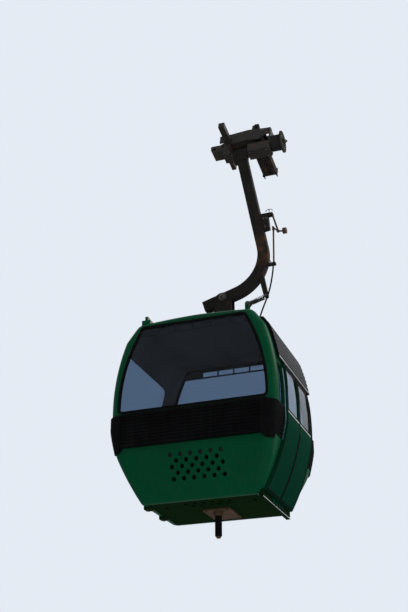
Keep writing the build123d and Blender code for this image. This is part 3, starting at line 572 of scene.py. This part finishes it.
gripBolts = {
    "nuts": [(0.160, 0.0743, 0.100, 0.024), (0.610, 0.0743, 0.172, 0.018)],
    "cheek": [(0.262, 0.0743, 0.186, 0.011), (0.345, 0.0743, 0.192, 0.011),
              (0.655, 0.0743, 0.180, 0.010), (0.655, 0.0743, 0.130, 0.010)],
    "plateFace": 0.7083, "plateApart": 0.052, "plateHeights": (0.180, 0.118, -0.132),
    "underFace": -0.1503, "underApart": 0.050, "underPlaces": (0.455, 0.660),
    "size": 0.012,
    "shaftEnd": (0.8773, 0, -0.022), "shaftNut": 0.022,
}
gripRows = []
for side in bothSides:
    gripRows += sideRows(nutMaster, gripBolts["nuts"], side)
    gripRows += sideRows(boltMaster, gripBolts["cheek"], side)
    gripRows += [(boltMaster, (gripBolts["plateFace"], side * gripBolts["plateApart"], z), (1, 0, 0),
                  gripBolts["size"]) for z in gripBolts["plateHeights"]]
    gripRows += [(boltMaster, (x, side * gripBolts["underApart"], gripBolts["underFace"]), (0, 0, -1),
                  gripBolts["size"]) for x in gripBolts["underPlaces"]]
gripRows.append((nutMaster, gripBolts["shaftEnd"], (1, 0, 0), gripBolts["shaftNut"]))
fasteners("gripBolts", "grip", gripRows, gripTilt)

rollerBolts = {"count": 6, "ring": 0.088, "face": 0.8563, "height": -0.022, "size": 0.010}
rollerRows = []
for i in range(rollerBolts["count"]):
    angle = math.tau * i / rollerBolts["count"]
    point = (rollerBolts["face"], rollerBolts["ring"] * math.cos(angle),
             rollerBolts["height"] + rollerBolts["ring"] * math.sin(angle))
    rollerRows.append((boltMaster, point, (1, 0, 0), rollerBolts["size"]))
fasteners("rollerBolts", "running_roller", rollerRows, gripTilt)

hangerBolts = {
    "pivot": [(0.085, 0.0643, -2.003, 0.036)],
    "bolts": [(0.590, 0.0343, -1.055, 0.010), (0.628, 0.0343, -1.055, 0.010),
              (0.606, 0.0343, -1.165, 0.010), (0.660, 0.0243, -1.655, 0.008)],
    "nuts": [(0.590, 0.0256, -2.050, 0.013), (0.372, 0.0323, -2.118, 0.013)],
    "roofFace": -2.4287, "roofApart": 0.096, "roofPlaces": (-0.115, 0.085, 0.285), "roofSize": 0.015,
}
hangerRows = [row for side in bothSides for row in sideRows(nutMaster, hangerBolts["pivot"], side)]
for side in bothSides:
    hangerRows += sideRows(boltMaster, hangerBolts["bolts"], side)
    hangerRows += sideRows(nutMaster, hangerBolts["nuts"], side)
    hangerRows += [(boltMaster, (x, side * hangerBolts["roofApart"], hangerBolts["roofFace"]), (0, 0, 1),
                    hangerBolts["roofSize"]) for x in hangerBolts["roofPlaces"]]
fasteners("hangerBolts", "cabin", hangerRows)

underBolts = {  # height of the face, size, places in X and Y
    "postBracket": (-4.4763, 0.013, [(x, y) for x in (-0.12, 0.12) for y in (-0.05, 0.30)]),
    "edgeBrackets": (-4.4843, 0.009, [(-0.659, y + dy) for y in (-0.33, 0.09) for dy in (-0.024, 0.024)]),
}
underRows = [(boltMaster, (x, y, z), (0, 0, -1), size)
             for z, size, places in underBolts.values() for x, y in places]
fasteners("underBolts", "cabin", underRows, finish="rustySteel")
print("bolts made")


def coil(radius, wire, length, turns, place, steps=20):
    # one round of wire screwed up along its axis, its two ends closed
    deselect()
    bpy.ops.mesh.primitive_circle_add(vertices=8, radius=wire, fill_type="NOTHING",
                                      location=(radius, 0, wire), rotation=(math.pi / 2, 0, 0))
    spring = settle(bpy.context.object)
    screw = spring.modifiers.new("screw", "SCREW")
    screw.steps = steps
    screw.render_steps = steps
    screw.iterations = turns
    screw.screw_offset = (length - 2 * wire) / turns
    screw.use_merge_vertices = False
    applyAll(spring)
    pick(spring, lambda middle, normal: True)
    bpy.ops.mesh.normals_make_consistent(inside=False)
    closeEnds(8)
    bpy.ops.mesh.select_all(action="SELECT")
    bpy.ops.mesh.normals_make_consistent(inside=False)
    done()
    spring.matrix_world = place
    return settle(spring)


# spring pack: two coil springs round their guides, between two plates with a web and tie rods
springs = {
    "start": 0.0746, "end": 0.396, "height": -0.070, "places": (0.526, 0.620),
    "coil": 0.0375, "wire": 0.0075, "turns": 12, "guide": 0.021,
    "plates": [  # low corner, high corner, edge
        ((0.478, 0.396, -0.122), (0.668, 0.414, -0.018), 0.003),
        ((0.478, 0.0746, -0.122), (0.668, 0.083, -0.018), 0.002),
        ((0.5715, 0.083, -0.110), (0.5745, 0.396, -0.030), 0.0008),
    ],
    "tiePlaces": [(x, z) for x in (0.494, 0.652) for z in (-0.108, -0.032)],
    "tie": 0.0078, "tieLength": 0.382, "tieMiddle": 0.266,
    "headFace": 0.4142, "headSize": 0.0135, "headTurn": 40,
}


def alongPack(x, y, z, size=1.0, spin=0.0):
    return gripTilt @ placed((x, y, z), (0, 1, 0), size, spin)


packParts = []
springLength = springs["end"] - springs["start"]
for x in springs["places"]:
    packParts.append(coil(springs["coil"], springs["wire"], springLength, springs["turns"],
                          alongPack(x, springs["start"], springs["height"])))
    packParts.append(softCylinder(springs["guide"], springLength,
                                  alongPack(x, springs["start"] + springLength / 2, springs["height"]), 20))
packParts += [softBlock(low, high, edge, gripTilt) for low, high, edge in springs["plates"]]
for x, z in springs["tiePlaces"]:
    tiePlace = alongPack(x, springs["tieMiddle"], z)
    headPlace = alongPack(x, springs["headFace"], z, springs["headSize"], z * springs["headTurn"])
    packParts.append(softCylinder(springs["tie"], springs["tieLength"], tiePlace, 14))
    packParts.append(copyOf(boltMaster, headPlace))
springPack = give(joined(packParts, "springPack"), "grip", "springPaint")
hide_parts("spring_pack")

# damper: tube and rod between two eyes, with the coil spring round them
damper = {
    "ends": (Vector((0.372, 0, -2.118)), Vector((0.590, 0, -2.050))),
    "tube": 0.0195, "tubeLength": 0.090, "tubeMiddle": 0.074, "rod": 0.0085, "rodShort": 0.05,
    "cup": 0.0315, "cupDepth": 0.009, "cupInset": 0.036, "cupEdge": 0.002,
    "coil": 0.0255, "wire": 0.0052, "turns": 8, "coilInset": 0.041,
    "eye": 0.0200, "eyeLength": 0.0320, "eyeWall": 0.0115,
}
damperFoot, damperHead = damper["ends"]
damperWay = (damperHead - damperFoot).normalized()
damperLength = (damperHead - damperFoot).length


def onDamper(distance):
    return placed(damperFoot + damperWay * distance, damperWay)


damperParts = [
    softCylinder(damper["tube"], damper["tubeLength"], onDamper(damper["tubeMiddle"])),
    softCylinder(damper["rod"], damperLength - damper["rodShort"], onDamper(damperLength / 2)),
]
damperParts += [softCylinder(damper["cup"], damper["cupDepth"], onDamper(distance), 28, damper["cupEdge"])
                for distance in (damper["cupInset"], damperLength - damper["cupInset"])]
damperParts.append(coil(damper["coil"], damper["wire"], damperLength - 2 * damper["coilInset"], damper["turns"],
                        onDamper(damper["coilInset"])))
for eye in damper["ends"]:
    deselect()
    bpy.ops.mesh.primitive_cylinder_add(vertices=24, radius=damper["eye"], depth=damper["eyeLength"])
    ring = bpy.context.object
    pick(ring, lambda middle, normal: abs(normal.z) > 0.9)
    bpy.ops.mesh.inset(thickness=damper["eyeWall"], use_individual=True)
    bpy.ops.mesh.bridge_edge_loops()
    done()
    ring.matrix_world = placed(eye, (0, 1, 0))
    damperParts.append(settle(ring))
damperSpring = give(joined(damperParts, "damperSpring"), "cabin", "springPaint")
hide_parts("damper")
print("springs made")

# strips and frames of rubber and trim, which are laid on the wall
laid = {
    "start": 1.25,  # from the middle, clear of every wall
    "seat": 0.0015,  # sunk into the wall
    "film": 0.0004,  # what stands out at the least
    "softness": 0.3,  # of the thickness
}


def layOn(target, shape, end=1, side=1, axis="x"):
    # flat strip or frame beside the wall, dropped on the wall's curve, then thickened and softened
    near, far = sorted(end * value for value in shape["across"])
    low, high = shape["heights"]
    deselect()
    bpy.ops.mesh.primitive_plane_add(size=1)
    strip = bpy.context.object
    strip.scale = (far - near, high - low, 1)
    settle(strip)
    middle = Vector((laid["start"] * side, (near + far) / 2, (low + high) / 2))
    if axis == "x":
        strip.rotation_euler = (math.pi / 2, 0, side * math.pi / 2)
    else:
        strip.rotation_euler = (math.pi / 2, 0, math.pi / 2 * (1 + side))
        middle = Vector((middle.y, middle.x, middle.z))
    strip.location = middle
    settle(strip)
    pick(strip, lambda middle, normal: True)
    if "corner" in shape:
        bpy.ops.mesh.bevel(offset=shape["corner"], segments=5, affect="VERTICES")
    if "wide" in shape:
        bpy.ops.mesh.select_all(action="SELECT")
        bpy.ops.mesh.inset(thickness=shape["wide"])
        bpy.ops.mesh.delete(type="FACE")
    for i in range(1, shape["cuts"]):
        height = low + (high - low) * i / shape["cuts"]
        bpy.ops.mesh.select_all(action="SELECT")
        bpy.ops.mesh.bisect(plane_co=(0, 0, height), plane_no=(0, 0, 1))
    done()
    wrap = strip.modifiers.new("wrap", "SHRINKWRAP")
    wrap.target = cadNodes[target]
    wrap.wrap_method = "PROJECT"
    wrap.use_project_x = axis == "x"
    wrap.use_project_y = axis == "y"
    wrap.use_negative_direction = side > 0
    wrap.use_positive_direction = side < 0
    wrap.offset = -laid["seat"]
    thick = strip.modifiers.new("thick", "SOLIDIFY")
    thick.thickness = shape["thick"] + laid["seat"] + laid["film"]
    thick.offset = 1.0
    soft = strip.modifiers.new("soft", "BEVEL")
    soft.width = shape["thick"] * laid["softness"]
    soft.segments = 2
    soft.angle_limit = math.radians(50)
    applyAll(strip)
    # worn down to the film along the widest line of the doors
    widest = cadHigh[0] + laid["film"]
    proud = [corner.index for corner in strip.data.vertices if corner.co.x > widest]
    if proud:
        pick(strip, lambda middle, normal: False)
        bpy.ops.mesh.select_mode(type="VERT")
        done()
        for index in proud:
            strip.data.vertices[index].select = True
        bpy.ops.object.mode_set(mode="EDIT")
        bpy.ops.transform.resize(value=(0, 1, 1), center_override=(widest, 0, 0))
        done()
    return strip


# rubber round each door leaf and each pane, and the thin pale trims across them
doorRubber = [
    {"across": (0.005, 0.453), "heights": (-4.418, -3.079), "thick": 0.004, "wide": 0.013, "cuts": 12},
    {"across": (0.026, 0.432), "heights": (-3.605, -3.097), "thick": 0.005, "wide": 0.012, "corner": 0.051,
     "cuts": 6},
]
doorTrim = [
    {"across": (0.019, 0.439), "heights": (-3.624, -3.610), "thick": 0.003, "cuts": 2},
    {"across": (0.019, 0.439), "heights": (-3.0925, -3.0865), "thick": 0.003, "cuts": 2},
]
for name, end in cabinEnds:
    seals = [layOn("door_" + name, shape, end) for shape in doorRubber]
    give(joined(seals, f"doorRubber_{name}"), f"{name}_door", "sealRubber")
    trims = [layOn("door_" + name, shape, end) for shape in doorTrim]
    give(joined(trims, f"doorTrim_{name}"), f"{name}_door", "bareAluminium")

# rubber round the side windows and along the foot of the end windows
stripFrame = {"across": (0.481, 0.633), "heights": (-3.5885, -3.124), "thick": 0.003, "wide": 0.0085,
              "corner": 0.041, "cuts": 6}
leftFrame = {"across": (-0.606, 0.606), "heights": (-3.5755, -2.774), "thick": 0.004, "wide": 0.012,
             "corner": 0.086, "cuts": 10}
frames = [layOn("side_wall_right", stripFrame, end) for end in bothSides]
frames.append(layOn("side_wall_left", leftFrame, side=-1))
give(joined(frames, "sideRubber"), "cabin", "sealRubber")
windowSill = {"across": (-0.850, 0.780), "heights": (-3.5925, -3.5480), "thick": 0.004, "cuts": 2}
sills = [layOn("end_frame_" + name, windowSill, side=end, axis="y") for name, end in cabinEnds]
give(joined(sills, "windowSills"), "cabin", "sealRubber")

# pale strips on the header's ribs as painted highlights, the trim under it and the one along the sill
headerRib = {"across": (-0.594, 0.594), "thick": 0.002, "cuts": 1}
ribHeights = {"first": -3.0457, "pitch": 0.0485, "count": 10, "half": 0.005}
ribs = []
for i in range(ribHeights["count"]):
    height = ribHeights["first"] + i * ribHeights["pitch"]
    heights = (height - ribHeights["half"], height + ribHeights["half"])
    ribs.append(layOn("door_header", dict(headerRib, heights=heights)))
give(joined(ribs, "headerRibHighlights"), "cabin", "ribHighlightPlastic")
headerTrim = {"across": (-0.590, 0.590), "heights": (-3.0685, -3.0600), "thick": 0.003, "cuts": 2}
give(joined([layOn("door_header", headerTrim)], "headerTrim"), "cabin", "bareAluminium")
sillTrim = {"low": (0.6435, -0.4845, -4.4975), "high": (0.6455, 0.4845, -4.4885), "edge": 0.0006}
give(joined([softBlock(sillTrim["low"], sillTrim["high"], sillTrim["edge"])], "sillTrim"), "cabin",
     "bareAluminium")
print("rubber and trims made")

# the arm's straight run, and the weld beads round its neck and its joint
armTop = Vector((0.342, 0, -0.190))
armCorner = Vector((0.638, 0, -1.837))
weldBeads = {
    "round": 0.006, "cuts": 9, "grain": 0.009, "ripple": 0.0024,
    "places": [  # section, radius, distance down the arm
        ((0.098, 0.126), 0.0042, 0.004),
        ((0.0985, 0.1265), 0.0050, 1.452),
    ],
}


def bead(section, radius, place):
    # weld bead with a ripple, round the four sides of a section
    deselect()
    bpy.ops.mesh.primitive_plane_add(size=1)
    line = bpy.context.object
    line.scale = (*section, 1)
    settle(line)
    pick(line, lambda middle, normal: True)
    bpy.ops.mesh.bevel(offset=weldBeads["round"], segments=2, affect="VERTICES")
    bpy.ops.mesh.select_all(action="SELECT")
    bpy.ops.mesh.delete(type="ONLY_FACE")
    bpy.ops.mesh.select_all(action="SELECT")
    bpy.ops.mesh.subdivide(number_cuts=weldBeads["cuts"])
    done()
    bpy.ops.object.convert(target="CURVE")
    line = bpy.context.object
    line.data.bevel_depth = radius
    line.data.bevel_resolution = 2
    bpy.ops.object.convert(target="MESH")
    line = bpy.context.object
    wobble = line.modifiers.new("wobble", "DISPLACE")
    wobble.texture = bpy.data.textures.new("beadRipple", "CLOUDS")
    wobble.texture.noise_scale = weldBeads["grain"]
    wobble.strength = weldBeads["ripple"]
    applyAll(line)
    line.matrix_world = place
    return settle(line)


armWay = (armCorner - armTop).normalized()
turned = Matrix.Rotation(math.pi / 2, 4, "Z")
beads = [bead(section, radius, placed(armTop + armWay * along, armWay) @ turned)
         for section, radius, along in weldBeads["places"]]
give(joined(beads, "weldBeads"), "cabin", "hangerPaint")

# bent guard over the door control's bracket
bracketGuard = {
    "bend": 0.052, "wire": 0.0042, "kept": 0.028, "place": (0.652, 0, -0.974),
    "stem": 0.004, "stemLength": 0.058, "stemPlace": (0.652, 0, -0.953),
}
deselect()
bpy.ops.mesh.primitive_torus_add(major_radius=bracketGuard["bend"], minor_radius=bracketGuard["wire"],
                                 major_segments=40, minor_segments=10, rotation=(math.pi / 2, 0, 0))
guard = settle(bpy.context.object)
pick(guard, lambda middle, normal: middle.z < bracketGuard["kept"])
bpy.ops.mesh.delete(type="FACE")
closeEnds(10)
done()
guard.location = bracketGuard["place"]
settle(guard)
stem = softCylinder(bracketGuard["stem"], bracketGuard["stemLength"],
                    placed(bracketGuard["stemPlace"], (0, 0, 1)), 12)
give(joined([guard, stem], "bracketGuard"), "cabin", "rodPaint")

for master in (boltMaster, nutMaster):
    bpy.data.objects.remove(master)
print("small pieces made")

# studio: pale floor at the camera's level, pale backdrop, soft lamps
studio = {
    "floorHeight": -7.52, "floorTones": ((0.80, 0.81, 0.82), (0.83, 0.84, 0.85)), "floorRough": 0.85,
    "backdrop": (0.78, 0.83, 0.90), "ambientTone": (0.93, 0.96, 1.0), "ambient": 0.52,
    "aim": (0, 0, -2.6),
    "lamps": {  # name: place, size, watts, tint
        "keyLamp": ((7.5, 3.5, 3.0), 4.0, 760, (1.0, 0.97, 0.92)),
        "frontLamp": ((6.0, -12.0, -4.0), 5.0, 330, (0.95, 0.98, 1.0)),
        "sideLamp": ((9.0, -2.5, -1.0), 4.0, 130, (1.0, 1.0, 1.0)),
    },
}
bpy.ops.mesh.primitive_plane_add(size=120, location=(0, 0, studio["floorHeight"]))
floor = bpy.context.object
floor.name = "studioFloor"
floorMaterial, tree, shader = newMaterial("studioFloor")
speckle = noiseField(tree, (-600, 200), 40.0, 2.0)
floorColour = mixColour(tree, speckle, *studio["floorTones"], (-300, 200))
feed(tree, shader.inputs["Base Color"], floorColour)
shader.inputs["Roughness"].default_value = studio["floorRough"]
# seen from below the floor is clear, so that low views aren't shut off
seeThrough = addNode(tree, "ShaderNodeBsdfTransparent", (0, -200))
geometry = addNode(tree, "ShaderNodeNewGeometry", (0, 400))
chooser = addNode(tree, "ShaderNodeMixShader", (300, 0))
tree.links.new(geometry.outputs["Backfacing"], chooser.inputs[0])
tree.links.new(shader.outputs[0], chooser.inputs[1])
tree.links.new(seeThrough.outputs[0], chooser.inputs[2])
tree.links.new(chooser.outputs[0], tree.nodes["Material Output"].inputs["Surface"])
floor.data.materials.append(floorMaterial)

world = bpy.data.worlds.new("studioWorld")
bpy.context.scene.world = world
world.use_nodes = True
tree = world.node_tree
rays = addNode(tree, "ShaderNodeLightPath", (-600, 300))
seen = combine(tree, "MAXIMUM", rays.outputs["Is Camera Ray"], rays.outputs["Is Glossy Ray"], (-350, 300))
seen = combine(tree, "MAXIMUM", seen, rays.outputs["Is Transmission Ray"], (-150, 300))
ambient = tree.nodes["Background"]
feed(tree, ambient.inputs[0], studio["ambientTone"])
ambient.inputs[1].default_value = studio["ambient"]
shown = addNode(tree, "ShaderNodeBackground", (0, -200))
feed(tree, shown.inputs[0], studio["backdrop"])
chooser = addNode(tree, "ShaderNodeMixShader", (300, 100))
for socket, value in ((0, seen), (1, ambient.outputs[0]), (2, shown.outputs[0])):
    tree.links.new(value, chooser.inputs[socket])
tree.links.new(chooser.outputs[0], tree.nodes["World Output"].inputs["Surface"])

for name, (place, size, watts, tint) in studio["lamps"].items():
    lamp = bpy.data.lights.new(name, "AREA")
    lamp.shape = "DISK"
    lamp.size = size
    lamp.energy = watts
    lamp.color = tint
    holder = bpy.data.objects.new(name, lamp)
    holder.location = place
    holder.rotation_euler = (Vector(studio["aim"]) - Vector(place)).to_track_quat("-Z", "Y").to_euler()
    bpy.context.scene.collection.objects.link(holder)

# camera below and to the door side, looking up
shot = {"place": (3.6955, -10.540, -7.463), "turn": 20.1, "tilt": 25.75, "lens": 63.59, "sensor": 36.0}
cameraData = bpy.data.cameras.new("camera")
cameraData.lens = shot["lens"]
cameraData.sensor_width = shot["sensor"]
camera = bpy.data.objects.new("camera", cameraData)
camera.location = shot["place"]
camera.rotation_euler = (math.radians(90 + shot["tilt"]), 0, math.radians(shot["turn"]))
bpy.context.scene.collection.objects.link(camera)
bpy.context.scene.camera = camera
bpy.context.scene.view_settings.view_transform = "Standard"

print("scene ready")
